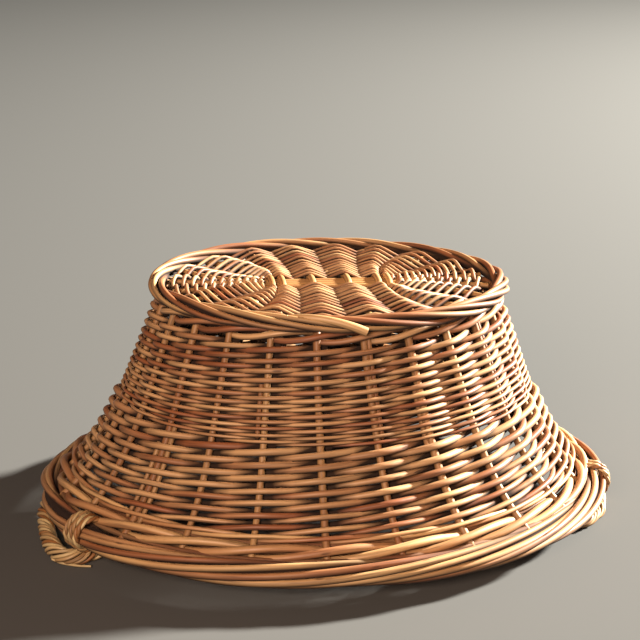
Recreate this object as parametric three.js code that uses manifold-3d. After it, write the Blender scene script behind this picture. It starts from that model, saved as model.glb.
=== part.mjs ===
// Oval willow basket with two small rope handles, standing upside down as in the photograph:
// the base is on top and the basket rests on its two rope loops.
// Millimetres, +Z up. The long axis lies along X, and the origin is on the standing surface
// under the middle of the basket.
import * as THREE from "three";
import Module from "manifold-3d";
import { mergeVertices } from "three/addons/utils/BufferGeometryUtils.js";

const wasm = await Module();
wasm.setup();

const degrees = THREE.MathUtils.degToRad;

// Driving sizes of the whole basket
const rimLength = 430;
const rimWidth = 352;
const footLength = 259;
const footWidth = 213;
const ringRise = 152; // from the middle of the border up to the middle of the foot wale
const baseTurn = degrees(-6); // the base and foot sit a little turned on the rim

// Rods and bundles of rods
const borderThickness = 20;
const wallThickness = 12;
const sidingThickness = 10.4; // at a stake
const gapThickness = 5; // of the siding between two stakes
const stakeThickness = 4.8;
const longStickThickness = 4.6;
const shortStickThickness = 5.4;
const baseWeaverThickness = 3.2;
const footWaleHeight = 13;
const footWaleWidth = 11;
const ropeThickness = 11;
const wrapRodThickness = 4.4;
const buttRodThickness = 5.2;

// Where the bands of the wall end, as levels: 0 at the foot wale and 1 at the border
const upsettEndLevel = 0.092;
const upperEndLevel = 0.525;
const lowerEndLevel = 0.855;
const rimWaleEndLevel = 0.922;
const rimWaleThickness = 13;
const stakeTopInset = 1.2; // how far the stakes' tops stand out above the first band

// Base
const baseRecess = 2.5; // from the top of the foot wale down to the base weave
const slathHalfLength = 50; // the bare crossing in the middle of the base
const slathHalfWidth = 13;
const slathPitch = 26; // from one short stick to the next
const shortStickPair = 7.8; // between the two sticks of the doubled ends
const stickEndInset = 1.5;
const fanStartShare = 0.42;
const midwayShare = 0.5;
const longStickFan = degrees(17); // between the ends of two long sticks
const eyeHalfLength = 17; // the split in a short stick
const eyeHalfHeight = 5.2;

// Handles. Angles are round the oval, from its long axis.
const loopReach = 21; // how far the rope swings out past the middle of the border
const tuckReach = 9; // how far its ends lie inside it
const loopHalfSpan = degrees(26);
const loopTurn = degrees(9);
const leftWrapTurn = degrees(22.5);
const rightWrapTurn = degrees(17.5);

// The loose rod end at the foot wale
const buttStart = degrees(-108);
const buttEnd = degrees(-82);
const buttLift = 1.2;
const buttDrop = 5;

// How many of each
const stakeCount = 24;
const firstStakeAngle = degrees(4);
const longStickCount = 4;
const wrapTurns = 2;
const sidingRows = 2;
const searchRounds = 40; // halvings to find where the stakes meet the border

// Clearances
const clearance = 0.3; // between pieces that touch on the real basket
const ropeHeadroom = 2.6; // air between a rope loop and the underside of the border
const wrapGap = 0.6; // between two turns of one wrap
const wrapSlack = 0.5; // the wraps lie a little loose on the border
const overrun = 2; // how far a cutting shape runs past what it cuts

// Faces of the curved shapes
const ovalFaces = 36;
const borderFaces = 48;
const borderSides = 10;
const rodSides = 6;
const stakeSides = 5;
const ropeSides = 8;
const ropeSteps = 24;
const wrapStepsPerTurn = 14;
const stakeSteps = 6;
const baseStickSteps = 6;
const eyeFaces = 5;
const slotFaces = 6;
const buttSteps = 6;

// Heights
const ropeRadius = ropeThickness / 2;
const ropeFlat = 1.1; // the loops are worn flat where the basket stands
const ropeHeight = ropeRadius - ropeFlat;
const borderRadius = borderThickness / 2;
const borderZ = ropeHeight + ropeRadius + ropeHeadroom + borderRadius;
const footZ = borderZ + ringRise;

// Half lengths and half widths of the oval at the foot and at the border
const wallTopHalfLength = footLength / 2 - wallThickness;
const wallTopHalfWidth = footWidth / 2 - wallThickness;
const borderHalfLength = rimLength / 2 - borderRadius;
const borderHalfWidth = rimWidth / 2 - borderRadius;

// The wall flares gently near the foot and strongly near the border. Its height is measured
// by a level: 0 at the middle of the foot wale and 1 at the middle of the border.
const steadyFlareShare = 0.69;
const flareBend = 5;
const flare = (level) => steadyFlareShare * level + (1 - steadyFlareShare) * level ** flareBend;
const flareRate = (level) =>
  steadyFlareShare + (1 - steadyFlareShare) * flareBend * level ** (flareBend - 1);
const heightAt = (level) => footZ - ringRise * level;
const halfLengthAt = (level) =>
  wallTopHalfLength + (borderHalfLength - wallTopHalfLength) * flare(level);
const halfWidthAt = (level) =>
  wallTopHalfWidth + (borderHalfWidth - wallTopHalfWidth) * flare(level);
const levelAt = (height) => (footZ - height) / ringRise;

// The wall turns with its height, from the border up to the foot
const upright = new THREE.Vector3(0, 0, 1);
const asTurned = (point) => point.applyAxisAngle(upright, baseTurn * (1 - levelAt(point.z)));
const asDrawn = (point) => point;

// Materials, one for each kind of willow
const willow = (colour, roughness) =>
  new THREE.MeshStandardMaterial({ color: colour, roughness, metalness: 0 });
const weaverWillow = willow(0xb5753f, 0.62);
const stakeWillow = willow(0xa5673a, 0.66);
const stickWillow = willow(0xc08a52, 0.64);
const borderWillow = willow(0xbb8047, 0.56);
const ropeWillow = willow(0xa98050, 0.7);

// The base and the foot are drawn square to their own oval, in a group that turns them
const basket = new THREE.Group();
basket.name = "basket";
const turnedBase = new THREE.Group();
turnedBase.rotation.z = baseTurn;
basket.add(turnedBase);

const addPiece = (name, geometry, material, group = basket) => {
  const mesh = new THREE.Mesh(geometry, material);
  mesh.name = name;
  group.add(mesh);
};

// Closed mesh to solid and back, for the cuts
const toSolid = (geometry) => {
  const bare = geometry.clone();
  bare.deleteAttribute("normal");
  bare.deleteAttribute("uv");
  const merged = mergeVertices(bare);
  return new wasm.Manifold(
    new wasm.Mesh({
      numProp: 3,
      vertProperties: merged.attributes.position.array,
      triVerts: merged.index.array,
    }),
  );
};
const toGeometry = (body) => {
  const mesh = body.getMesh();
  const geometry = new THREE.BufferGeometry();
  geometry.setAttribute("position", new THREE.BufferAttribute(mesh.vertProperties, 3));
  geometry.setIndex(new THREE.BufferAttribute(mesh.triVerts, 1));
  geometry.computeVertexNormals();
  return geometry;
};
const cutBy = (geometry, cutters) => {
  let body = toSolid(geometry);
  for (const cutter of cutters) {
    body = body.subtract(toSolid(cutter));
  }
  return toGeometry(body);
};

// A closed ring whose section is drawn on the long axis, as points of half length and height.
// Turned as a lathe does, narrowed from a circle to the basket's oval, then moved into place.
// Where a second section is given, it takes the place of the first at every other step.
const ovalRing = (section, narrowing, placing, faces, between = section, startAngle = 0) => {
  const closed = [...section, section[0]];
  const closedBetween = [...between, between[0]];
  const ring = new THREE.LatheGeometry(closed, faces, startAngle + Math.PI / 2);
  ring.rotateX(Math.PI / 2);
  const places = ring.attributes.position;
  const point = new THREE.Vector3();
  for (let i = 0; i < places.count; i += 1) {
    point.fromBufferAttribute(places, i);
    if (Math.floor(i / closed.length) % 2 === 1) {
      const drawn = closed[i % closed.length];
      const wanted = closedBetween[i % closed.length];
      point.x *= wanted.x / drawn.x;
      point.y *= wanted.x / drawn.x;
      point.z = wanted.y;
    }
    const reach = Math.hypot(point.x, point.y);
    point.y *= (reach - narrowing(point.z)) / reach;
    placing(point);
    places.setXYZ(i, point.x, point.y, point.z);
  }
  return ring;
};

// A rod: a regular polygon drawn along a curve, closed at both ends
const polygon = (radius, sides) => {
  const outline = new THREE.Shape();
  for (let i = 0; i < sides; i += 1) {
    const turn = (2 * Math.PI * i) / sides;
    const x = radius * Math.cos(turn);
    const y = radius * Math.sin(turn);
    if (i === 0) {
      outline.moveTo(x, y);
    } else {
      outline.lineTo(x, y);
    }
  }
  return outline;
};
const rodAlong = (curve, thickness, steps, sides = rodSides) =>
  new THREE.ExtrudeGeometry(polygon(thickness / 2, sides), { steps, extrudePath: curve });

// Ovals: a point at an angle, and a point of the border's middle line moved outward and up
const ovalPoint = (halfLength, halfWidth, angle, height) =>
  new THREE.Vector3(halfLength * Math.cos(angle), halfWidth * Math.sin(angle), height);
const outwardAt = (halfLength, halfWidth, angle) =>
  new THREE.Vector3(halfWidth * Math.cos(angle), halfLength * Math.sin(angle), 0).normalize();

// Border: the stakes' ends laid down and woven into one thick roped edge
const borderSection = [];
for (let i = 0; i < borderSides; i += 1) {
  const turn = (2 * Math.PI * i) / borderSides;
  borderSection.push(
    new THREE.Vector2(
      borderHalfLength + borderRadius * Math.cos(turn),
      borderZ + borderRadius * Math.sin(turn),
    ),
  );
}
addPiece(
  "border",
  ovalRing(borderSection, () => borderHalfLength - borderHalfWidth, asDrawn, borderFaces),
  borderWillow,
);

// Foot wale: the roped ring round the edge of the base, with a flat top and underside
const footHalfLength = (footLength - footWaleWidth) / 2;
const footCornerShare = 0.28;
const footCorner = footWaleWidth * footCornerShare;
const halfFootWidth = footWaleWidth / 2;
const halfFootHeight = footWaleHeight / 2;
const footTopZ = footZ + halfFootHeight;
const footUnderZ = footZ - halfFootHeight;
const footSection = [
  [halfFootWidth, halfFootHeight - footCorner],
  [halfFootWidth - footCorner, halfFootHeight],
  [footCorner - halfFootWidth, halfFootHeight],
  [-halfFootWidth, halfFootHeight - footCorner],
  [-halfFootWidth, footCorner - halfFootHeight],
  [footCorner - halfFootWidth, -halfFootHeight],
  [halfFootWidth - footCorner, -halfFootHeight],
  [halfFootWidth, footCorner - halfFootHeight],
].map(([across, up]) => new THREE.Vector2(footHalfLength + across, footZ + up));
addPiece(
  "foot_wale",
  ovalRing(footSection, () => (footLength - footWidth) / 2, asDrawn, ovalFaces),
  borderWillow,
  turnedBase,
);

// Stakes: the upright rods of the wall, from under the foot wale down to the border
const slopeAt = (level) =>
  ((borderHalfLength - wallTopHalfLength) * flareRate(level)) / ringRise;
const stakeTopZ = footUnderZ - clearance - (stakeThickness / 2) * slopeAt(0);
const stakeTopLevel = levelAt(stakeTopZ);
const reachToBorder = (level) =>
  Math.hypot(borderHalfWidth - halfWidthAt(level), heightAt(level) - borderZ);
const findStakeEnd = () => {
  let clear = stakeTopLevel;
  let inside = 1;
  for (let i = 0; i < searchRounds; i += 1) {
    const middle = (clear + inside) / 2;
    if (reachToBorder(middle) > borderRadius + clearance) {
      clear = middle;
    } else {
      inside = middle;
    }
  }
  return clear;
};
const stakeEndLevel = findStakeEnd();
const wallPoint = (level, angle) =>
  asTurned(ovalPoint(halfLengthAt(level), halfWidthAt(level), angle, heightAt(level)));
const stakeCurve = (angle) => {
  const points = [];
  for (let i = 0; i <= stakeSteps; i += 1) {
    const level = stakeTopLevel + ((stakeEndLevel - stakeTopLevel) * i) / stakeSteps;
    points.push(wallPoint(level, angle));
  }
  return new THREE.CatmullRomCurve3(points);
};
const stakeCurves = [];
for (let i = 0; i < stakeCount; i += 1) {
  stakeCurves.push(stakeCurve(firstStakeAngle + (2 * Math.PI * i) / stakeCount));
}
stakeCurves.forEach((curve, i) => {
  const number = String(i + 1).padStart(2, "0");
  addPiece(`stake_${number}`, rodAlong(curve, stakeThickness, stakeSteps, stakeSides), stakeWillow);
});

// Woven bands of the wall: closed oval shells with a channel for every stake
const channelThickness = stakeThickness + 2 * clearance;
const stakeChannels = stakeCurves.map((curve) =>
  rodAlong(curve, channelThickness, stakeSteps, stakeSides),
);
const skinPoint = (level, offset) => {
  const slope = slopeAt(level);
  const length = Math.hypot(1, slope);
  return new THREE.Vector2(
    halfLengthAt(level) + offset / length,
    heightAt(level) + (offset * slope) / length,
  );
};
const wallNarrowing = (height) => {
  const level = levelAt(height);
  return halfLengthAt(level) - halfWidthAt(level);
};
const bandSection = (firstLevel, lastLevel, thickness, rows) => {
  const section = [];
  for (let i = 0; i <= rows; i += 1) {
    const level = lastLevel + ((firstLevel - lastLevel) * i) / rows;
    section.push(skinPoint(level, thickness / 2));
  }
  for (let i = 0; i <= rows; i += 1) {
    const level = firstLevel + ((lastLevel - firstLevel) * i) / rows;
    section.push(skinPoint(level, -thickness / 2));
  }
  return section;
};
const wallRing = (section, between) =>
  ovalRing(section, wallNarrowing, asTurned, 2 * stakeCount, between, firstStakeAngle);
const addBand = (name, firstLevel, lastLevel, thickness) => {
  const section = bandSection(firstLevel, lastLevel, thickness, 1);
  addPiece(name, cutBy(wallRing(section, section), stakeChannels), weaverWillow);
};

// The sidings swell at every stake, where rods pass on both sides, and are thin between stakes
const addSiding = (name, firstLevel, lastLevel) => {
  const atStake = bandSection(firstLevel, lastLevel, sidingThickness, sidingRows);
  const between = bandSection(firstLevel, lastLevel, gapThickness, sidingRows);
  addPiece(name, cutBy(wallRing(atStake, between), stakeChannels), weaverWillow);
};
const bandGapLevel = clearance / ringRise;
const upsettTopLevel = stakeTopLevel + stakeTopInset / ringRise;
addBand("upsett_wale", upsettTopLevel, upsettEndLevel, wallThickness);
addSiding("upper_siding", upsettEndLevel + bandGapLevel, upperEndLevel);
addSiding("lower_siding", upperEndLevel + bandGapLevel, lowerEndLevel);
addBand("rim_wale", lowerEndLevel + bandGapLevel, rimWaleEndLevel, rimWaleThickness);

// Base: sticks crossed in the middle and a woven oval round them
const baseThickness = longStickThickness + 2 * baseWeaverThickness;
const baseZ = footTopZ - baseRecess - baseThickness / 2;
const baseHalfLength = footLength / 2 - footWaleWidth - clearance;
const baseHalfWidth = footWidth / 2 - footWaleWidth - clearance;
const basePoint = (angle, inset) =>
  ovalPoint(baseHalfLength - inset, baseHalfWidth - inset, angle, baseZ);
const mirrored = (points, x, y) =>
  points.map((point) => new THREE.Vector3(point.x * x, point.y * y, point.z)).reverse();

// Long sticks lie side by side through the slath and fan out past it
const longStickPitch = longStickThickness + clearance;
const longStickCurves = [];
for (let i = 0; i < longStickCount; i += 1) {
  const place = i - (longStickCount - 1) / 2;
  const y = place * longStickPitch;
  const end = basePoint(place * longStickFan, stickEndInset);
  const leave = new THREE.Vector3(slathHalfLength, y, baseZ);
  const bend = leave.clone().lerp(end, midwayShare);
  bend.y = y + (end.y - y) * fanStartShare;
  const half = [new THREE.Vector3(slathHalfLength / 2, y, baseZ), leave, bend, end];
  const points = [...mirrored(half, -1, 1), ...half];
  longStickCurves.push(new THREE.CatmullRomCurve3(points));
}

// Short sticks cross them. Each is split in the middle and the long sticks pass through it.
const singleStickX = slathPitch / 2;
const pairX = singleStickX + slathPitch;
const shortStickPlaces = [
  { x: singleStickX, fan: degrees(81) },
  { x: pairX - shortStickPair / 2, fan: degrees(64) },
  { x: pairX + shortStickPair / 2, fan: degrees(43) },
];
const shortStickCurves = [];
for (const side of [-1, 1]) {
  for (const { x, fan } of shortStickPlaces) {
    const end = basePoint(fan, stickEndInset);
    const leave = new THREE.Vector3(x, slathHalfWidth, baseZ);
    const bend = leave.clone().lerp(end, midwayShare);
    bend.x = x + (end.x - x) * fanStartShare;
    const half = [new THREE.Vector3(x, 0, baseZ), leave, bend, end];
    const points = [...mirrored(half.slice(1), 1, -1), ...half];
    const placed = side < 0 ? mirrored(points, -1, 1) : points;
    shortStickCurves.push({ x: x * side, curve: new THREE.CatmullRomCurve3(placed) });
  }
}
const eyeBlock = (x, grow) => {
  const outline = new THREE.Shape();
  outline.absellipse(0, 0, eyeHalfLength + grow, eyeHalfHeight + grow, 0, 2 * Math.PI);
  const width = shortStickThickness + 2 * grow;
  const block = new THREE.ExtrudeGeometry(outline, {
    depth: width,
    curveSegments: eyeFaces,
    bevelEnabled: false,
  });
  block.rotateX(Math.PI / 2);
  block.rotateZ(Math.PI / 2);
  block.translate(x - width / 2, 0, baseZ);
  return block;
};
const longStickChannels = longStickCurves.map((curve) =>
  rodAlong(curve, longStickThickness + 2 * clearance, baseStickSteps),
);
longStickCurves.forEach((curve, i) => {
  const rod = rodAlong(curve, longStickThickness, baseStickSteps);
  addPiece(`long_stick_${i + 1}`, rod, stickWillow, turnedBase);
});
shortStickCurves.forEach(({ x, curve }, i) => {
  const rod = toSolid(rodAlong(curve, shortStickThickness, baseStickSteps));
  const whole = toGeometry(rod.add(toSolid(eyeBlock(x, 0))));
  const pierced = cutBy(whole, longStickChannels);
  addPiece(`short_stick_${i + 1}`, pierced, stickWillow, turnedBase);
});

// Base weave: one flat oval with a slot where the slath shows and a channel for every stick
const ovalOutline = (halfLength, halfWidth) => {
  const points = [];
  for (let i = 0; i < ovalFaces; i += 1) {
    const angle = (2 * Math.PI * i) / ovalFaces;
    points.push(
      new THREE.Vector2(halfLength * Math.cos(angle), halfWidth * Math.sin(angle)),
    );
  }
  return new THREE.Shape(points);
};
const slathSlot = () => {
  const slot = new THREE.Path();
  const straight = slathHalfLength - slathHalfWidth;
  slot.absarc(straight, 0, slathHalfWidth, -Math.PI / 2, Math.PI / 2);
  slot.absarc(-straight, 0, slathHalfWidth, Math.PI / 2, (3 * Math.PI) / 2);
  return slot;
};
const baseOutline = ovalOutline(baseHalfLength, baseHalfWidth);
baseOutline.holes.push(slathSlot());
const baseSlab = new THREE.ExtrudeGeometry(baseOutline, {
  depth: baseThickness,
  curveSegments: slotFaces,
  bevelEnabled: false,
});
baseSlab.translate(0, 0, baseZ - baseThickness / 2);
const wayOut = (curve, at, thickness) => {
  const end = curve.getPoint(at);
  const ahead = curve.getTangent(at).multiplyScalar(at === 0 ? -overrun : overrun);
  const line = new THREE.LineCurve3(end.clone().sub(ahead), end.clone().add(ahead));
  return rodAlong(line, thickness, 1);
};
const longBore = longStickThickness + 2 * clearance;
const shortBore = shortStickThickness + 2 * clearance;
const baseCutters = [...longStickChannels];
for (const curve of longStickCurves) {
  baseCutters.push(wayOut(curve, 0, longBore), wayOut(curve, 1, longBore));
}
for (const { x, curve } of shortStickCurves) {
  baseCutters.push(rodAlong(curve, shortBore, baseStickSteps), eyeBlock(x, clearance));
  baseCutters.push(wayOut(curve, 0, shortBore), wayOut(curve, 1, shortBore));
}
addPiece("base_weave", cutBy(baseSlab, baseCutters), weaverWillow, turnedBase);

// A loose butt end of one foot wale rod, lying along the front of the foot wale
const buttPoints = [];
for (let i = 0; i <= buttSteps; i += 1) {
  const share = i / buttSteps;
  const angle = buttStart + (buttEnd - buttStart) * share;
  const away = (footWaleWidth + buttRodThickness) / 2 + clearance + buttLift * share;
  const point = ovalPoint(footHalfLength, footWidth / 2 - halfFootWidth, angle, footZ);
  point.addScaledVector(outwardAt(footHalfLength, footWidth / 2 - halfFootWidth, angle), away);
  point.z -= buttDrop * share;
  buttPoints.push(point);
}
addPiece(
  "foot_wale_butt",
  rodAlong(new THREE.CatmullRomCurve3(buttPoints), buttRodThickness, buttSteps),
  borderWillow,
  turnedBase,
);

// Rope loops: each passes under the border at both ends and swings outward between them,
// flat on the surface that the basket stands on
const ropeToBorder = borderRadius + ropeRadius + clearance;
const tuckRise = borderZ - ropeHeight - Math.sqrt(ropeToBorder ** 2 - tuckReach ** 2);
const borderPoint = (angle, out, height) =>
  ovalPoint(borderHalfLength, borderHalfWidth, angle, height).addScaledVector(
    outwardAt(borderHalfLength, borderHalfWidth, angle),
    out,
  );
const addLoop = (name, middleAngle, halfSpan, shares) => {
  const points = shares.map(([turnShare, outShare, riseShare]) =>
    borderPoint(
      middleAngle + halfSpan * turnShare,
      outShare > 0 ? loopReach * outShare : tuckReach * outShare,
      ropeHeight + tuckRise * riseShare,
    ),
  );
  const curve = new THREE.CatmullRomCurve3(points);
  const rope = rodAlong(curve, ropeThickness, ropeSteps, ropeSides);
  const floor = new THREE.BoxGeometry(rimLength * 2, rimWidth * 2, ropeThickness);
  floor.translate(0, 0, -ropeRadius);
  addPiece(name, cutBy(rope, [floor]), ropeWillow);
};
const leftLoopShares = [
  [-1, -1, 1],
  [-0.81, 0.02, 0.2],
  [-0.54, 0.33, 0],
  [-0.15, 0.57, 0],
  [0.12, 0.71, 0],
  [0.42, 0.9, 0],
  [0.67, 1, 0],
  [0.87, 0.81, 0],
  [0.96, 0.38, 0],
  [1, -0.2, 0.25],
  [0.98, -1, 1],
];
const rightLoopShares = [
  [-1, -1, 1],
  [-0.81, 0.02, 0.2],
  [-0.55, 0.33, 0],
  [-0.31, 0.44, 0],
  [-0.12, 0.48, 0],
  [0.13, 0.48, 0],
  [0.42, 0.52, 0],
  [0.67, 0.66, 0],
  [0.87, 0.66, 0],
  [0.96, 0.38, 0],
  [1, -0.2, 0.25],
  [0.98, -1, 1],
];
addLoop("left_rope_loop", Math.PI + loopTurn, loopHalfSpan, leftLoopShares);
addLoop("right_rope_loop", -loopTurn, loopHalfSpan, rightLoopShares);

// Wraps: the end of each rope, wound twice round the border beside the loop
const wrapRadius = borderRadius + clearance + wrapSlack + wrapRodThickness / 2;
const wrapPitch = wrapRodThickness + wrapGap;
const wrapPoint = (angle, turns) => {
  const out = outwardAt(borderHalfLength, borderHalfWidth, angle);
  const along = new THREE.Vector3(-out.y, out.x, 0);
  const swing = 2 * Math.PI * turns + Math.PI;
  return ovalPoint(borderHalfLength, borderHalfWidth, angle, borderZ)
    .addScaledVector(out, wrapRadius * Math.cos(swing))
    .add(new THREE.Vector3(0, 0, wrapRadius * Math.sin(swing)))
    .addScaledVector(along, wrapPitch * (turns - wrapTurns / 2));
};
const addWrap = (name, angle) => {
  const steps = wrapTurns * wrapStepsPerTurn;
  const points = [];
  for (let i = 0; i <= steps; i += 1) {
    points.push(wrapPoint(angle, (wrapTurns * i) / steps));
  }
  let leastGap = Infinity;
  for (let i = 0; i + wrapStepsPerTurn <= steps; i += 1) {
    const gap = points[i].distanceTo(points[i + wrapStepsPerTurn]) - wrapRodThickness;
    leastGap = Math.min(leastGap, gap);
  }
  console.log(`${name}: least gap between its turns ${leastGap.toFixed(2)} mm`);
  const curve = new THREE.CatmullRomCurve3(points);
  addPiece(name, rodAlong(curve, wrapRodThickness, steps), ropeWillow);
};
addWrap("left_handle_wrap", Math.PI + leftWrapTurn);
addWrap("right_handle_wrap", -rightWrapTurn);

export default basket;
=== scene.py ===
"""An oval basket of peeled willow standing upside down on its two rope handles."""

import bmesh
import bpy
import math
import random

from mathutils import Matrix, Vector


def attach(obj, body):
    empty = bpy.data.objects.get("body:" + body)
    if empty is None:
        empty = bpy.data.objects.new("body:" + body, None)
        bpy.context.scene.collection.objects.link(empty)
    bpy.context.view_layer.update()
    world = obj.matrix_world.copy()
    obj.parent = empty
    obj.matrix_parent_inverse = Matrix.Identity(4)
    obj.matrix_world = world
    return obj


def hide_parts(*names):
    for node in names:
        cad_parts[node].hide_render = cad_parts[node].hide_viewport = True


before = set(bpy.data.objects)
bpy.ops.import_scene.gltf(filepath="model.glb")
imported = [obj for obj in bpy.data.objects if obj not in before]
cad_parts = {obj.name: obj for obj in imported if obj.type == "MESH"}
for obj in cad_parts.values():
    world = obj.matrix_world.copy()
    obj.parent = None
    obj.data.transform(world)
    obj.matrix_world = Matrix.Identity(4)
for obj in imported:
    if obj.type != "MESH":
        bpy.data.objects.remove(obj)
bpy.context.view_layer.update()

# ---------------------------------------------------------------------------------------------
# Long sticks
# Four round willow sticks lie side by side along the middle of the base. They pass through the
# split short sticks and fan out at both ends, where the weave and the foot wale hold them.

random.seed(7)

BASE_Z = 0.173
BASE_TURN = math.radians(-6.0)
BASE_HALF_LENGTH = 0.1165
BASE_HALF_WIDTH = 0.0945
LONG_RADIUS = 0.0023
LONG_PITCH = 0.0049
LONG_PLACES = (-1.5, -0.5, 0.5, 1.5)
LONG_FAN = 17
SHORT_PLACES = (0.0429, 0.0351, 0.013, -0.013, -0.0351, -0.0429)
SLATH_HALF_LENGTH = 0.047
SLATH_HALF_WIDTH = 0.0108
BENT_STEPS = 10

SIDES = 8
STICK_SIDES = 12
NO_RADIUS = 1e-6
CUT_RIM = 0.00005
CUT_MIDDLE = 0.00008
TIP_REACH = 0.8


def turned(point, angle=BASE_TURN):
    """The point turned about the upright axis, as the whole base is on the rim."""
    return Matrix.Rotation(angle, 3, "Z") @ Vector(point)


def on_oval(half_length, half_width, angle, height):
    return Vector((half_length * math.cos(angle), half_width * math.sin(angle), height))


def linear(code):
    """A colour from its six letters and digits, as linear light."""
    values = []
    for i in (0, 2, 4):
        value = int(code[i : i + 2], 16) / 255
        values.append(value / 12.92 if value <= 0.04045 else ((value + 0.055) / 1.055) ** 2.4)
    return values + [1.0]


def rod(path, radius, tint=None, start="tip", end="tip", depth=0.0):
    """One rod for make_rods. Radius and painted shade are one value, or one for each point."""
    if not isinstance(radius, (list, tuple)):
        radius = [radius] * len(path)
    if not isinstance(depth, (list, tuple)):
        depth = [depth] * len(path)
    return {
        "path": path,
        "radius": radius,
        "tint": random.random() if tint is None else tint,
        "start": start,
        "end": end,
        "depth": depth,
    }


def closed_end(place, outward, radius, hidden, kind):
    """The rings that close the end of a rod: a flat cut face or a blunt tip."""
    if kind == "cut":
        return [
            (place + outward * CUT_RIM, radius, 1.0, hidden),
            (place + outward * CUT_MIDDLE, NO_RADIUS, 1.0, hidden),
        ]
    return [(place + outward * radius * TIP_REACH, NO_RADIUS, 0.0, hidden)]


def make_rods(name, strands, material, nodes, sides=SIDES, under=0.72, edge=0.25):
    """Sweeps round rods along their paths into one piece, which rides on the basket.

    Each point carries its place in the grain, its rod's tint, whether it is on a cut end, and
    its painted shade: how dark it is painted, as shade, where it lies hidden in the weave. More
    painted shade is added on the underside of a rod: it starts edge radii above the middle, and
    under is how much it grows for each radius down.
    """
    curve = bpy.data.curves.new(name, "CURVE")
    curve.dimensions = "3D"
    curve.fill_mode = "FULL"
    curve.bevel_depth = 1.0
    curve.bevel_resolution = sides // 2 - 2
    rings = []
    for strand in strands:
        path, radii, painted_dark = strand["path"], strand["radius"], strand["depth"]
        first = (path[0] - path[1]).normalized()
        last = (path[-1] - path[-2]).normalized()
        points = closed_end(path[0], first, radii[0], painted_dark[0], strand["start"])[::-1]
        points += [(p, r, 0.0, d) for p, r, d in zip(path, radii, painted_dark)]
        points += closed_end(path[-1], last, radii[-1], painted_dark[-1], strand["end"])
        spline = curve.splines.new("POLY")
        spline.points.add(len(points) - 1)
        along = random.random() * 3.0
        before = points[0][0]
        for i, (p, r, cut, hidden) in enumerate(points):
            spline.points[i].co = (p.x, p.y, p.z, 1.0)
            spline.points[i].radius = r
            along += (p - before).length
            before = p
            rings.append((p, along, r, strand["tint"], cut, hidden))
    carrier = bpy.data.objects.new(name + "_line", curve)
    bpy.context.scene.collection.objects.link(carrier)
    shape = carrier.evaluated_get(bpy.context.evaluated_depsgraph_get())
    mesh = bpy.data.meshes.new_from_object(shape)
    bpy.data.objects.remove(carrier)
    bpy.data.curves.remove(curve)
    mesh.name = name

    ring = len(mesh.vertices) // len(rings)
    grain, tints, cuts, depths = [], [], [], []
    for i, (middle, along, r, tint, cut, hidden) in enumerate(rings):
        for k in range(ring):
            turn = 2 * math.pi * k / ring
            grain += [along, r * math.cos(turn), r * math.sin(turn)]
            tints.append(tint)
            cuts.append(cut)
            # Painted shade: the shade given for the point, and more painted on the rod's
            # underside, but none on a cut face.
            below = (middle.z - mesh.vertices[i * ring + k].co.z) / max(r, 1e-5)
            depths.append(min(1.0, hidden + (1.0 - cut) * under * max(0.0, below + edge)))
    mesh.attributes.new("grain", "FLOAT_VECTOR", "POINT").data.foreach_set("vector", grain)
    for label, values in (("tint", tints), ("cut", cuts), ("depth", depths)):
        mesh.attributes.new(label, "FLOAT", "POINT").data.foreach_set("value", values)

    work = bmesh.new()
    work.from_mesh(mesh)
    work.verts.ensure_lookup_table()
    poles = []
    for i, (_, _, r, *_) in enumerate(rings):
        if r < 2 * NO_RADIUS:
            poles += [work.verts[i * ring + k] for k in range(ring)]
    bmesh.ops.remove_doubles(work, verts=poles, dist=5 * NO_RADIUS)
    bmesh.ops.recalc_face_normals(work, faces=work.faces)
    layer = work.verts.layers.float["cut"]
    for face in work.faces:
        face.smooth = min(v[layer] for v in face.verts) < 0.5
    work.to_mesh(mesh)
    work.free()
    mesh.materials.clear()
    mesh.materials.append(material)
    piece = bpy.data.objects.new(name, mesh)
    bpy.context.scene.collection.objects.link(piece)
    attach(piece, "root")
    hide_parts(*nodes)
    return piece


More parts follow.
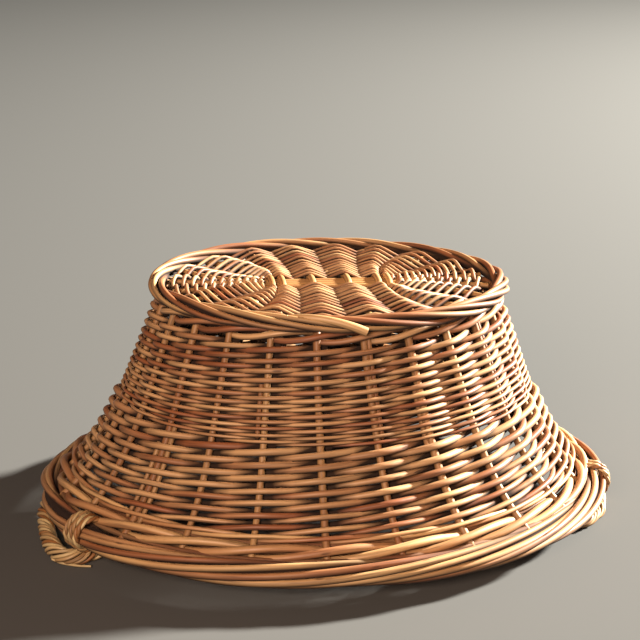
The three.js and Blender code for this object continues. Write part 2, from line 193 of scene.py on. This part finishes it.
def willow_group():
    """Peeled willow: streaks along the rod, specks, bud scars, pale cut ends and painted shade.
    """
    group = bpy.data.node_groups.new("Willow rod", "ShaderNodeTree")
    for label, kind in (
        ("Grain", "NodeSocketVector"),
        ("Tint", "NodeSocketFloat"),
        ("Cut", "NodeSocketFloat"),
        ("Depth", "NodeSocketFloat"),
        ("Pale", "NodeSocketColor"),
        ("Warm", "NodeSocketColor"),
        ("Dark", "NodeSocketColor"),
        ("Streaks", "NodeSocketFloat"),
        ("Scars", "NodeSocketFloat"),
    ):
        group.interface.new_socket(label, in_out="INPUT", socket_type=kind)
    group.interface.new_socket("Color", in_out="OUTPUT", socket_type="NodeSocketColor")
    group.interface.new_socket("Roughness", in_out="OUTPUT", socket_type="NodeSocketFloat")
    group.interface.new_socket("Coat", in_out="OUTPUT", socket_type="NodeSocketFloat")
    group.interface.new_socket("Height", in_out="OUTPUT", socket_type="NodeSocketFloat")
    nodes, links = group.nodes, group.links
    given = nodes.new("NodeGroupInput")
    result = nodes.new("NodeGroupOutput")
    depth, dark, pale = given.outputs["Depth"], given.outputs["Dark"], given.outputs["Pale"]

    def feed(socket, value):
        if isinstance(value, bpy.types.NodeSocket):
            links.new(value, socket)
        else:
            socket.default_value = value

    def stretched(scale):
        node = nodes.new("ShaderNodeVectorMath")
        node.operation = "MULTIPLY"
        feed(node.inputs[0], given.outputs["Grain"])
        feed(node.inputs[1], scale)
        return node.outputs[0]

    def noise(scale, detail, rough):
        node = nodes.new("ShaderNodeTexNoise")
        feed(node.inputs["Vector"], stretched(scale))
        feed(node.inputs["Scale"], 1.0)
        feed(node.inputs["Detail"], detail)
        feed(node.inputs["Roughness"], rough)
        return node.outputs["Fac"]

    def remap(value, low, high, to_low=0.0, to_high=1.0):
        node = nodes.new("ShaderNodeMapRange")
        feed(node.inputs["Value"], value)
        feed(node.inputs["From Min"], low)
        feed(node.inputs["From Max"], high)
        feed(node.inputs["To Min"], to_low)
        feed(node.inputs["To Max"], to_high)
        return node.outputs["Result"]

    def mix(a, b, share):
        node = nodes.new("ShaderNodeMix")
        node.data_type = "RGBA"
        feed(node.inputs[6], a)
        feed(node.inputs[7], b)
        feed(node.inputs[0], share)
        return node.outputs[2]

    def maths(how, a, b):
        node = nodes.new("ShaderNodeMath")
        node.operation = how
        feed(node.inputs[0], a)
        feed(node.inputs[1], b)
        return node.outputs[0]

    slow = noise((9.0, 60.0, 60.0), 2.0, 0.5)
    streak = noise((22.0, 620.0, 620.0), 3.0, 0.6)
    fine = noise((260.0, 1500.0, 1500.0), 2.0, 0.6)
    cells = nodes.new("ShaderNodeTexVoronoi")
    feed(cells.inputs["Scale"], 1.0)
    feed(cells.inputs["Vector"], stretched((46.0, 190.0, 190.0)))

    tone = maths("ADD", given.outputs["Tint"], remap(slow, 0.35, 0.65, -0.35, 0.35))
    base = mix(pale, given.outputs["Warm"], remap(tone, 0.0, 1.0))
    base = mix(base, dark, maths("MULTIPLY", remap(streak, 0.5, 0.72), given.outputs["Streaks"]))
    base = mix(base, dark, remap(fine, 0.6, 0.8, 0.0, 0.3))
    scar = maths("MULTIPLY", remap(cells.outputs["Distance"], 0.2, 0.1), remap(slow, 0.5, 0.6))
    scar = maths("MULTIPLY", scar, given.outputs["Scars"])
    base = mix(base, dark, scar)
    base = mix(base, pale, given.outputs["Cut"])
    # Painted shade: where a rod lies hidden in the weave or faces down, its colour is painted
    # nearly black and its coat is taken away.
    painted_shade_colour = (0.018, 0.007, 0.003, 1.0)
    base = mix(base, painted_shade_colour, remap(depth, 0.0, 0.95, 0.0, 0.98))
    links.new(base, result.inputs["Color"])
    rough = maths("ADD", remap(streak, 0.3, 0.7, 0.38, 0.6), remap(depth, 0.0, 1.0, 0.0, 0.5))
    links.new(rough, result.inputs["Roughness"])
    links.new(remap(depth, 0.0, 0.7, 0.12, 0.0), result.inputs["Coat"])
    height = maths("ADD", maths("MULTIPLY", streak, 0.7), maths("MULTIPLY", fine, 0.3))
    height = maths("SUBTRACT", height, maths("MULTIPLY", scar, 0.8))
    links.new(height, result.inputs["Height"])
    return group


WILLOW = willow_group()
BUMP_STRENGTH = 0.35
BUMP_DISTANCE = 0.0006
COAT_ROUGHNESS = 0.35


def willow(name, pale, warm, dark, streaks=0.6, scars=0.7):
    """One finish of willow, made by the shared group with its own colours."""
    material = bpy.data.materials.new(name)
    material.use_nodes = True
    nodes, links = material.node_tree.nodes, material.node_tree.links
    shader = nodes["Principled BSDF"]
    group = nodes.new("ShaderNodeGroup")
    group.node_tree = WILLOW
    for label, attribute, output in (
        ("Grain", "grain", "Vector"),
        ("Tint", "tint", "Fac"),
        ("Cut", "cut", "Fac"),
        ("Depth", "depth", "Fac"),
    ):
        reader = nodes.new("ShaderNodeAttribute")
        reader.attribute_name = attribute
        links.new(reader.outputs[output], group.inputs[label])
    group.inputs["Pale"].default_value = linear(pale)
    group.inputs["Warm"].default_value = linear(warm)
    group.inputs["Dark"].default_value = linear(dark)
    group.inputs["Streaks"].default_value = streaks
    group.inputs["Scars"].default_value = scars
    raised = nodes.new("ShaderNodeBump")
    raised.inputs["Strength"].default_value = BUMP_STRENGTH
    raised.inputs["Distance"].default_value = BUMP_DISTANCE
    links.new(group.outputs["Color"], shader.inputs["Base Color"])
    links.new(group.outputs["Roughness"], shader.inputs["Roughness"])
    links.new(group.outputs["Height"], raised.inputs["Height"])
    links.new(raised.outputs["Normal"], shader.inputs["Normal"])
    links.new(group.outputs["Coat"], shader.inputs["Coat Weight"])
    shader.inputs["Coat Roughness"].default_value = COAT_ROUGHNESS
    return material


def bent(start, way, end, share):
    """Where a stick is at a share of its way out: straight out of the slath, then to its end."""
    bend = start + way * (end - start).length * 0.4
    return start * (1 - share) ** 2 + bend * 2 * share * (1 - share) + end * share**2


def base_edge(angle):
    return on_oval(BASE_HALF_LENGTH, BASE_HALF_WIDTH, math.radians(angle), BASE_Z)


# The slath is the crossing of the sticks. Each arm is where a stick leaves it, the stick's
# first direction and its end, in order round the base.
ARMS = []
for side, fans in ((1, (43, 64, 81, 99, 116, 137)), (-1, (223, 244, 261, 279, 296, 317))):
    for place in LONG_PLACES:
        start = Vector((SLATH_HALF_LENGTH * side, place * LONG_PITCH * side, BASE_Z))
        end = base_edge(LONG_FAN * place + (0 if side > 0 else 180))
        ARMS.append((start, Vector((side, 0, 0)), end))
    for x, fan in zip(SHORT_PLACES, fans):
        start = Vector((x * side, SLATH_HALF_WIDTH * side, BASE_Z))
        ARMS.append((start, Vector((0, side, 0)), base_edge(fan)))

stick_finish = willow("Stick willow", "D6A468", "B0713C", "5E3418", 0.55, 0.6)
sticks = []
for i, place in enumerate(LONG_PLACES):
    right, left = ARMS[i], ARMS[13 - i]
    path = [bent(*left, 1 - k / BENT_STEPS) for k in range(BENT_STEPS)]
    for x in (-SLATH_HALF_LENGTH, -0.03, -0.015, 0.0, 0.015, 0.03):
        path.append(Vector((x, place * LONG_PITCH, BASE_Z)))
    path += [bent(*right, k / BENT_STEPS) for k in range(BENT_STEPS + 1)]
    thick = LONG_RADIUS * (0.94 + 0.1 * random.random())
    tint = 0.3 + 0.3 * random.random()
    sticks.append(rod([turned(p) for p in path], thick, tint, "cut", "cut"))
make_rods(
    "long_sticks",
    sticks,
    stick_finish,
    [f"long_stick_{i}" for i in range(1, 5)],
    sides=STICK_SIDES,
    under=1.0,
    edge=0.55,
)

# ---------------------------------------------------------------------------------------------
# Short sticks
# Six shorter willow sticks cross the long ones, two single and a pair at each end. Each is
# split in its middle and grips the long sticks, with half of it over them and half under.

SHORT_RADIUS = 0.0024
SPLIT_RADIUS = 0.0023
SPLIT_LIFT = 0.0037
LOWER_HALF = 0.9
SPLIT_LINE = (
    (SLATH_HALF_WIDTH, 0.35),
    (0.008, 0.85),
    (0.004, 1.0),
    (0.0, 1.0),
    (-0.004, 1.0),
    (-0.008, 0.85),
    (-SLATH_HALF_WIDTH, 0.35),
)

sticks = []
for i, x in enumerate(SHORT_PLACES):
    back, front = ARMS[4 + i], ARMS[19 - i]
    tint = 0.2 + 0.3 * random.random()
    for lift, thin in ((SPLIT_LIFT, 1.0), (-SPLIT_LIFT, LOWER_HALF)):
        path = [bent(*back, 1 - k / BENT_STEPS) for k in range(BENT_STEPS - 1)]
        radii = [SHORT_RADIUS * thin] * len(path)
        path += [Vector((x, y, BASE_Z + lift * up)) for y, up in SPLIT_LINE]
        radii += [SPLIT_RADIUS * thin] * len(SPLIT_LINE)
        path += [bent(*front, k / BENT_STEPS) for k in range(2, BENT_STEPS + 1)]
        radii += [SHORT_RADIUS * thin] * (BENT_STEPS - 1)
        sticks.append(rod([turned(p) for p in path], radii, tint, "cut", "cut"))
make_rods(
    "short_sticks",
    sticks,
    stick_finish,
    [f"short_stick_{i}" for i in range(1, 7)],
    sides=STICK_SIDES,
    under=0.9,
    edge=0.45,
)

# ---------------------------------------------------------------------------------------------
# Base weave
# Pairs of thin willow rods twist round every stick as they go round and round. Each row shows
# as a row of humps, one over each stick, and a new rod starts where one ends.

WEAVE_ROWS = 11
WEAVE_RADIUS = 0.0015
WEAVE_STEPS = 8
WEAVE_END = len(ARMS) * WEAVE_ROWS
WEAVE_ASIDE = 0.0014
WEAVE_OVERLAP = 0.3
WEAVE_SHARP = 0.96
WEAVE_RISE = 0.003
RISE_PER_GAP = 0.075

weaver_finish = willow("Weaver willow", "DEAC78", "A2603A", "40200F")


def between(a, b, c, d, s):
    """The point at share s of the way from b to c, on a smooth line through all four."""
    return 0.5 * (
        2 * b
        + (c - a) * s
        + (2 * a - 5 * b + 4 * c - d) * s**2
        + (3 * b - a - 3 * c + d) * s**3
    )


def weave_line(count):
    """The middle of the base weave after passing that many sticks."""
    share = min(1.0, max(0.0, count / WEAVE_END))
    before = math.floor(count)
    spots = [bent(*ARMS[(before + k) % len(ARMS)], share) for k in (-1, 0, 1, 2)]
    return between(*spots, count - before)


def zigzag(phase, sharp):
    """A wave like the cosine, with straighter flanks and tighter turns."""
    return math.asin(sharp * math.cos(phase)) / math.asin(sharp)


weave = []
for strand in (0, 1):
    count = strand + 1.0
    last = count
    while last <= WEAVE_END - 2:
        last = min(count + 2 * random.randint(7, 12), WEAVE_END + strand - 1.0)
        thick = WEAVE_RADIUS * (0.86 + 0.28 * random.random())
        apart, high = random.uniform(-0.0004, 0.0004), random.uniform(0.88, 1.12)
        path, painted_dark = [], []
        for k in range(int((last - count) * WEAVE_STEPS) + 1):
            at = count + k / WEAVE_STEPS
            way = weave_line(at + 0.02) - weave_line(at - 0.02)
            outward = Vector((way.y, -way.x, 0)).normalized()
            phase = math.pi * (at + strand)
            lift = zigzag(phase, WEAVE_SHARP)
            gap = (weave_line(at + 0.5) - weave_line(at - 0.5)).length
            aside = outward * (apart + WEAVE_ASIDE * math.sin(phase))
            up = Vector((0, 0, (WEAVE_RISE + RISE_PER_GAP * gap) * high * lift))
            path.append(turned(weave_line(at) + aside + up))
            # Painted shade where the rod dips under a stick.
            painted_dark.append(min(1.0, max(0.0, 0.5 - 1.4 * lift)))
        weave.append(rod(path, thick, depth=painted_dark))
        count = last - WEAVE_OVERLAP
make_rods(
    "base_weave_rods",
    weave,
    weaver_finish,
    ["base_weave"],
    under=1.5,
    edge=0.6,
)

# ---------------------------------------------------------------------------------------------
# Foot wale
# Tapering willow rods are roped round the edge of the base, about five side by side, and stand
# out as its foot. Each comes up on the inner side, slants over the top and goes down outside.

FOOT_Z = 0.1745
FOOT_RING = (0.1255, 0.1025, FOOT_Z)
FOOT_CORE = (0.124, 0.101, FOOT_Z)
FOOT_CORE_RADIUS = 0.0028
FOOT_CORE_STEPS = 120
FOOT_RODS = 20
FOOT_LENGTH = 2 * math.pi * 4.6 / FOOT_RODS
FOOT_RADIUS = 0.0025
FOOT_TAPER = 0.0007
FOOT_ACROSS = 0.0046
FOOT_UP = 0.0044
FOOT_STEPS = 40

border_finish = willow("Border willow", "DEAE76", "A86840", "40200F")


def roped(half_length, half_width, height, angle, across, up):
    """A point beside a ring: across is outward and up is upward from its middle line."""
    here = on_oval(half_length, half_width, angle, height)
    outward = Vector((math.cos(angle) / half_length, math.sin(angle) / half_width, 0))
    return here + outward.normalized() * across + Vector((0, 0, up))


def ringed(ring, steps):
    """The middle line of a ring, once round."""
    return [on_oval(*ring[:2], 2 * math.pi * k / steps, ring[2]) for k in range(steps + 1)]


foot = []
for i in range(FOOT_RODS):
    start = 2 * math.pi * (i + 0.25 * random.random()) / FOOT_RODS
    fat = 0.9 + 0.2 * random.random()
    path, radii, painted_dark = [], [], []
    for k in range(FOOT_STEPS + 1):
        s = k / FOOT_STEPS
        turn = math.radians(205 - 330 * s)
        close = 1.0 - 0.35 * abs(2 * s - 1) ** 4
        across, up = FOOT_ACROSS * math.cos(turn) * close, FOOT_UP * math.sin(turn) * close
        path.append(turned(roped(*FOOT_RING, start + FOOT_LENGTH * s, across, up)))
        radii.append((FOOT_RADIUS - FOOT_TAPER * s) * fat)
        # Painted shade at both ends of the rod, where it is tucked in among the others.
        painted_dark.append(max(0.05, 1.0 - 5 * s, 4 * s - 3.0))
    foot.append(rod(path, radii, depth=painted_dark))
# A rod painted nearly black as shade, hidden in the middle of the others, closes the gaps
# between them.
hidden = [turned(p) for p in ringed(FOOT_CORE, FOOT_CORE_STEPS)]
foot.append(rod(hidden, FOOT_CORE_RADIUS, 0.9, depth=1.0))
make_rods(
    "foot_wale_rods",
    foot,
    border_finish,
    ["foot_wale"],
    under=1.1,
    edge=0.55,
)

# ---------------------------------------------------------------------------------------------
# Loose end of the foot wale
# The thick end of one willow rod comes out of the foot at the front and stands out over the
# wall, where it is cut off. The rest of that rod is held in the foot.

BUTT_STEPS = 12

butt, radii = [], []
for k in range(BUTT_STEPS + 1):
    s = k / BUTT_STEPS
    across, up = -0.003 + 0.0115 * s**0.8, 0.003 + 0.012 * s - 0.018 * s * s
    butt.append(turned(roped(*FOOT_RING, math.radians(-110 + 24 * s), across, up)))
    radii.append(0.0023 + 0.0009 * s)
make_rods(
    "foot_wale_butt_rod",
    [rod(butt, radii, 0.05, "tip", "cut")],
    border_finish,
    ["foot_wale_butt"],
    sides=STICK_SIDES,
)

# ---------------------------------------------------------------------------------------------
# Stakes
# Twenty-four willow uprights stand round the base and splay out to the rim, where they are laid
# down as the border. Some have a second, thinner rod pushed in beside them.

STAKES = 24
GAP = 2 * math.pi / STAKES
FIRST_STAKE = math.radians(4.0)
STAKE_RADIUS = 0.0026
STAKE_LEVELS = [0.04 + 0.94 * k / 24 for k in range(25)]
SECOND_RADIUS = 0.0018
SECOND_OUT = 0.0004
SECOND_STEPS = 14

WALL_FOOT = (0.1175, 0.0945)
WALL_SPREAD = (0.0875, 0.0715)
WALL_HEIGHT = 0.152

stake_finish = willow("Stake willow", "D2A26A", "A0663C", "40200F", 0.5, 0.5)


def wall_middle(angle, level):
    """A point in the middle of the wall, which splays out more and more towards the rim."""
    splay = 0.69 * level + 0.31 * max(level, 0.0) ** 5
    half_length = WALL_FOOT[0] + WALL_SPREAD[0] * splay
    half_width = WALL_FOOT[1] + WALL_SPREAD[1] * splay
    flat = on_oval(half_length, half_width, angle, FOOT_Z - WALL_HEIGHT * level)
    return turned(flat, BASE_TURN * (1 - level))


def wall(angle, level, out=0.0):
    """A point of the wall: level is 0 at the foot and 1 at the border, out is off its middle."""
    here = wall_middle(angle, level)
    across = wall_middle(angle + 0.01, level) - wall_middle(angle - 0.01, level)
    down = wall_middle(angle, level + 0.01) - wall_middle(angle, level - 0.01)
    return here - across.cross(down).normalized() * out


stakes = []
for i in range(STAKES):
    path = [wall(FIRST_STAKE + GAP * i, level) for level in STAKE_LEVELS]
    # Stakes are painted a little darker all over, as shade in the weave.
    stakes.append(rod(path, STAKE_RADIUS * (0.9 + 0.2 * random.random()), depth=0.15))

# The stake that each second rod stands beside, the levels of its two ends, and how far it
# stands to the side, as a share of the gap between two stakes.
for stake, first, last, aside in (
    (-5, 0.3, 0.56, -0.11),
    (-6, 0.05, 0.5, 0.1),
    (-8, 0.28, 0.5, -0.12),
    (-10, 0.52, 0.92, 0.14),
    (-10, 0.6, 0.9, -0.14),
    (-3, 0.02, 0.5, 0.12),
    (-1, 0.1, 0.55, 0.13),
    (2, 0.1, 0.8, 0.12),
    (5, 0.15, 0.7, -0.12),
    (8, 0.2, 0.85, 0.12),
):
    angle = FIRST_STAKE + GAP * (stake + aside)
    levels = [first + (last - first) * k / SECOND_STEPS for k in range(SECOND_STEPS + 1)]
    path = [wall(angle, level, SECOND_OUT) for level in levels]
    # Second rods are painted a little darker all over, as shade in the weave.
    stakes.append(rod(path, SECOND_RADIUS, None, "cut", "tip", 0.2))
make_rods(
    "stakes",
    stakes,
    stake_finish,
    [f"stake_{i:02d}" for i in range(1, STAKES + 1)],
)

# ---------------------------------------------------------------------------------------------
# Upsett wale
# Three willow rods, woven loosely in front of two stakes and behind one right under the foot,
# set the stakes up. Wide dark gaps show between them.

WALL_SLANT = 0.165
WALE_STRANDS = 3
WALE_STEPS = 8
UPSETT_LEVEL = 0.07
UPSETT_RADIUS = 0.0023


def waled(level, strand, thick, height, start):
    """A rod of a wale: round the stakes like one strand of a rope, in front of all but one."""
    path, painted_dark = [], []
    for k in range(STAKES * WALE_STEPS + 1):
        count = start + k / WALE_STEPS
        phase = 2 * math.pi * (count + strand) / WALE_STRANDS
        away = (STAKE_RADIUS + thick) * math.cos(phase)
        at = level - height / WALL_SLANT * math.sin(phase)
        path.append(wall(FIRST_STAKE + GAP * count, at, away))
        # Painted shade where the rod passes behind a stake.
        painted_dark.append(min(1.0, max(0.0, -0.2 - 1.4 * math.cos(phase))))
    return path, painted_dark


upsett = []
for strand in range(WALE_STRANDS):
    path, painted_dark = waled(UPSETT_LEVEL, strand, thick=0.0022, height=0.0036, start=strand)
    upsett.append(rod(path, UPSETT_RADIUS, depth=painted_dark))
make_rods(
    "upsett_rods",
    upsett,
    weaver_finish,
    ["upsett_wale"],
    under=0.95,
)

# ---------------------------------------------------------------------------------------------
# Upper siding
# Tapering willow rods start one behind each stake. Each goes in front of one stake and behind
# the next, a row lower at every stake, so thick ends are at the top and thin tips below.

RAND_STEPS = 6
RAND_LEAD = 0.2
RAND_SWAY = 0.05
RAND_SHARP = 0.93
RAND_PRESSED = 0.0002


def randed(first, last, rows, thick, thin):
    """The rods of a band of this weave between two levels of the wall."""
    strands = []
    total = rows * (thick + thin) / 2
    for i in range(STAKES):
        fat = 0.97 + 0.16 * random.random()
        sways = [(random.uniform(0, 6.28), random.uniform(0.5, 1.3)) for _ in range(2)]
        path, radii, painted_dark = [], [], []
        for k in range(rows * RAND_STEPS + 3):
            s = k / RAND_STEPS - RAND_LEAD
            size = thick + (thin - thick) * max(0.0, s) / rows
            used = s * (thick + size) / 2 / total
            sway = sum(math.sin(a + b * s) for a, b in sways) * RAND_SWAY * size
            level = first + (last - first) * used + sway / WALL_SLANT
            swing = -zigzag(math.pi * s, RAND_SHARP)
            away = (STAKE_RADIUS + size / 2 - RAND_PRESSED) * swing
            path.append(wall(FIRST_STAKE + GAP * (i - s), level, away))
            radii.append(size / 2 * fat * (1 - 0.12 * max(0.0, -swing)))
            # Painted shade where the rod goes behind a stake.
            painted_dark.append(min(0.97, max(0.0, -0.05 - 1.4 * swing)))
        strands.append(rod(path, radii, depth=painted_dark))
    return strands


make_rods(
    "upper_siding_rods",
    randed(first=0.114, last=0.53, rows=24, thick=0.0044, thin=0.0023),
    weaver_finish,
    ["upper_siding"],
    under=0.95,
    edge=0.4,
)

# ---------------------------------------------------------------------------------------------
# Lower siding
# A second set of willow rods, thicker and in fewer rows, is woven the same way below the first
# and ends at the rim wale.

make_rods(
    "lower_siding_rods",
    randed(first=0.532, last=0.876, rows=14, thick=0.0053, thin=0.0037),
    weaver_finish,
    ["lower_siding"],
    under=0.95,
    edge=0.4,
)

# ---------------------------------------------------------------------------------------------
# Rim wale
# Two rounds of three willow rods, thin above and thick below, go in front of two stakes and
# behind one, and close the wall above the border. Their ends are cut off.

# Each round's level, the radius of its rods, how far they rise and fall, and its first stake.
RIM_ROUNDS = ((0.889, 0.0016, 0.0012, 3), (0.938, 0.0029, 0.003, 8))
# Plain rods that fill the wall between and behind the rounds: the level and how far out.
FILLERS = ((0.905, -0.003), (0.928, -0.0035), (0.965, 0.001))
FILLER_RADIUS = 0.0021

rim = []
for level, thick, height, first in RIM_ROUNDS:
    for strand in range(WALE_STRANDS):
        path, painted_dark = waled(level, strand, thick, height, strand + first)
        rim.append(rod(path, thick, None, "cut", "cut", painted_dark))
for level, out in FILLERS:
    path = []
    for k in range(6 * STAKES + 1):
        path.append(wall(GAP * k / 6, level, out + 0.0005 * math.sin(k / 7)))
    # The fillers are painted half dark, as shade between the rounds.
    rim.append(rod(path, FILLER_RADIUS, 0.8, depth=0.5))
make_rods(
    "rim_wale_rods",
    rim,
    border_finish,
    ["rim_wale"],
)

# ---------------------------------------------------------------------------------------------
# Border
# The ends of the willow stakes are laid down along the rim as a bundle. Each comes out
# underneath, climbs the outer side towards the right and is held by the others at the top.

BORDER_Z = 0.0225
BORDER_RING = (0.205, 0.166, BORDER_Z)
BORDER_SPREAD = 0.0073
BORDER_RADIUS = 0.0029
BORDER_TAPER = 0.0007
BORDER_STEPS = 48
BORDER_CORE_RADIUS = 0.0058
BORDER_CORE_STEPS = 144

border = []
for i in range(STAKES):
    start = FIRST_STAKE + GAP * (i + 0.5 * random.random())
    length = GAP * random.uniform(6.4, 7.6)
    fat, wide = random.uniform(0.88, 1.1), random.uniform(0.85, 1.13)
    early = random.uniform(-14, 14)
    path, radii, painted_dark = [], [], []
    for k in range(BORDER_STEPS + 1):
        s = k / BORDER_STEPS
        turn = math.radians(-165 + early + 290 * s)
        close = BORDER_SPREAD * wide * (1.0 - 0.4 * abs(2 * s - 1) ** 4)
        across, up = close * math.cos(turn), close * math.sin(turn)
        path.append(roped(*BORDER_RING, start + length * s, across, up))
        radii.append((BORDER_RADIUS - BORDER_TAPER * s) * fat)
        # Painted shade at both ends, where the rod goes in among the others.
        painted_dark.append(max(0.0, 1.0 - 8 * s, 5 * s - 4.0))
    border.append(rod(path, radii, depth=painted_dark))
# A rod painted nearly black as shade fills the middle of the border and shows dark between its
# rods.
hidden = ringed(BORDER_RING, BORDER_CORE_STEPS)
border.append(rod(hidden, BORDER_CORE_RADIUS, 0.9, depth=1.0))
make_rods(
    "border_rods",
    border,
    border_finish,
    ["border"],
    under=1.0,
    edge=0.6,
)

# ---------------------------------------------------------------------------------------------
# Rope handles
# Each handle is a loop of thin willow rods twisted into a rope. It comes out from under the
# border and goes back under it, and the basket rests on both.

ROPE_STRANDS = 8
LEFT_LOOP = (
    (-0.2007, 0.027, 0.0115),
    (-0.2085, 0.013, 0.01),
    (-0.211, -0.0037, 0.008),
    (-0.212, -0.0275, 0.007),
    (-0.2104, -0.0502, 0.0064),
    (-0.2048, -0.0656, 0.0062),
    (-0.1955, -0.0692, 0.0062),
    (-0.1838, -0.0635, 0.0062),
    (-0.1745, -0.0613, 0.0066),
    (-0.1676, -0.0629, 0.009),
    (-0.1631, -0.0579, 0.0125),
)
LOOSE_STRAND = (
    (-0.2121, -0.0648, 0.0035),
    (-0.207, -0.0684, 0.002),
    (-0.2011, -0.0713, 0.0013),
    (-0.1938, -0.075, 0.0012),
    (-0.1865, -0.077, 0.0012),
)
RIGHT_LOOP = (
    (0.161118, -0.089327, 0.0095),
    (0.177691, -0.083339, 0.00542),
    (0.193001, -0.068171, 0.0044),
    (0.202645, -0.051226, 0.0044),
    (0.207947, -0.036847, 0.0044),
    (0.211734, -0.017194, 0.0044),
    (0.213302, 0.00591, 0.0044),
    (0.213308, 0.02623, 0.0044),
    (0.209478, 0.042155, 0.0044),
    (0.202903, 0.047694, 0.0044),
    (0.194359, 0.047898, 0.005675),
    (0.188125, 0.044003, 0.0095),
)

rope_finish = willow("Rope willow", "DCBE88", "9A6434", "40240F", 0.7, 0.4)


def through(points, steps):
    """A smooth line through the points, with that many steps from one to the next."""
    points = [Vector(p) for p in points]
    ends = [2 * points[0] - points[1]] + points + [2 * points[-1] - points[-2]]
    line = []
    for i in range(len(points) - 1):
        line += [between(*ends[i : i + 4], k / steps) for k in range(steps)]
    return line + [points[-1]]


def twisted(line, radius, thick, lay, heart):
    """Strands twisted loosely round a heart into a rope, pressed flat on the floor."""
    made = []
    for strand in range(ROPE_STRANDS):
        path, along = [], 0.0
        wander = random.uniform(0, 6.28)
        for k, here in enumerate(line):
            if k:
                along += (here - line[k - 1]).length
            way = (line[min(k + 1, len(line) - 1)] - line[max(k - 1, 0)]).normalized()
            across = way.cross(Vector((0, 0, 1))).normalized()
            up = across.cross(way)
            phase = 2 * math.pi * (along / lay + strand / ROPE_STRANDS)
            phase += 0.35 * math.sin(90 * along + wander)
            spread = radius * (1.0 + 0.16 * math.sin(130 * along + 2 * wander))
            point = here + across * spread * math.cos(phase) + up * spread * math.sin(phase)
            point.z = max(point.z, thick)
            path.append(point)
        made.append(rod(path, thick * (0.9 + 0.15 * random.random())))
    # A heart painted dark as shade fills the middle of the rope.
    made.append(rod(line, heart, 0.9, depth=0.9))
    return made


left_strands = twisted(
    through(LEFT_LOOP, 12), radius=0.0045, thick=0.0015, lay=0.042, heart=0.004
)
left_strands.append(rod(through(LOOSE_STRAND, 5), 0.0009, -0.6, "tip", "cut"))
make_rods(
    "left_rope",
    left_strands,
    rope_finish,
    ["left_rope_loop"],
)
make_rods(
    "right_rope",
    twisted(through(RIGHT_LOOP, 14), radius=0.004, thick=0.0013, lay=0.038, heart=0.0033),
    rope_finish,
    ["right_rope_loop"],
)

# ---------------------------------------------------------------------------------------------
# Handle wraps
# The end of each rope, three thin willow rods twisted together, is wound round the border,
# nearly three times at the left and nearly twice at the right. Pulled tight, it holds the loop.

WRAP_STRANDS = 3
WRAP_STEPS = 24
WRAP_TAIL_STEPS = 20
WRAP_RADIUS = 0.0117
WRAP_PITCH = 0.006
WRAP_TWIST = 1.05
TWIST_ASIDE = 0.0014
TWIST_OUT = 0.0011
WRAP_ROD_RADIUS = 0.0013


def wrapped(middle, turns):
    """Strands twisted together and wound round the border at that angle."""
    half_length, half_width, _ = BORDER_RING
    along = Vector((-math.sin(middle) / half_width, math.cos(middle) / half_length, 0))
    along.normalize()
    made = []
    for strand in range(WRAP_STRANDS):
        path = []
        for k in range(turns * WRAP_STEPS + WRAP_TAIL_STEPS + 1):
            swing = 2 * math.pi * k / WRAP_STEPS - math.pi / 2
            twist = k * WRAP_TWIST + 2 * math.pi * strand / WRAP_STRANDS
            shift = WRAP_PITCH * (k / WRAP_STEPS - turns / 2) + TWIST_ASIDE * math.cos(twist)
            radius = WRAP_RADIUS + TWIST_OUT * math.sin(twist)
            across, up = radius * math.cos(swing), radius * math.sin(swing)
            path.append(roped(*BORDER_RING, middle, across, up) + along * shift)
        made.append(rod(path, WRAP_ROD_RADIUS))
    return made


make_rods(
    "left_wrap",
    wrapped(math.radians(202.5), 2),
    rope_finish,
    ["left_handle_wrap"],
)
make_rods(
    "right_wrap",
    wrapped(math.radians(-17.5), 1),
    rope_finish,
    ["right_handle_wrap"],
)

# ---------------------------------------------------------------------------------------------
# Floor, light and camera
# A plain floor, pale once it is lit, a key light from the right, a weak warm fill light from the
# front left, and the camera where the photograph was taken from.

floor_finish = bpy.data.materials.new("Pale floor")
floor_finish.use_nodes = True
floor_shader = floor_finish.node_tree.nodes["Principled BSDF"]
floor_shader.inputs["Base Color"].default_value = linear("64625F")
floor_shader.inputs["Roughness"].default_value = 1.0
floor_shader.inputs["Specular IOR Level"].default_value = 0.1
bpy.ops.mesh.primitive_plane_add(size=12, location=(0, 0, 0))
floor = bpy.context.object
floor.name = "floor"
floor.data.materials.append(floor_finish)

world = bpy.data.worlds.new("Studio")
bpy.context.scene.world = world
world.use_nodes = True
world.node_tree.nodes["Background"].inputs["Color"].default_value = (0.6, 0.58, 0.58, 1)
world.node_tree.nodes["Background"].inputs["Strength"].default_value = 0.08

LIGHT_AIM = Vector((0, 0, 0.1))


def light(name, place, size, power, tone):
    """A round soft light at that place, aimed at the basket."""
    lamp = bpy.data.lights.new(name, "AREA")
    lamp.shape = "DISK"
    lamp.size = size
    lamp.energy = power
    lamp.color = tone
    holder = bpy.data.objects.new(name, lamp)
    bpy.context.scene.collection.objects.link(holder)
    way = LIGHT_AIM - Vector(place)
    facing = way.to_track_quat("-Z", "Y").to_matrix().to_4x4()
    holder.matrix_world = Matrix.Translation(Vector(place)) @ facing


light("key", (4.08, 0.78, 1.8), 0.42, 1420, (1.0, 0.99, 0.92))
light("fill", (-0.9, -1.65, 0.9), 0.8, 36, (1.0, 0.76, 0.6))

lens = bpy.data.cameras.new("camera")
lens.sensor_width = 36
lens.lens = 91.91
lens.clip_end = 30
lens.shift_x = 0.007
camera = bpy.data.objects.new("camera", lens)
bpy.context.scene.collection.objects.link(camera)
seen_right = Vector((0.97121, -0.23759, 0.01747))
seen_up = Vector((0.05549, 0.2969, 0.9533))
seen_back = seen_right.cross(seen_up)
facing = Matrix((seen_right, seen_up, seen_back)).transposed().to_4x4()
camera.matrix_world = Matrix.Translation(Vector((-0.28816, -1.10977, 0.50768))) @ facing
bpy.context.scene.view_settings.view_transform = "Standard"
bpy.context.scene.camera = camera
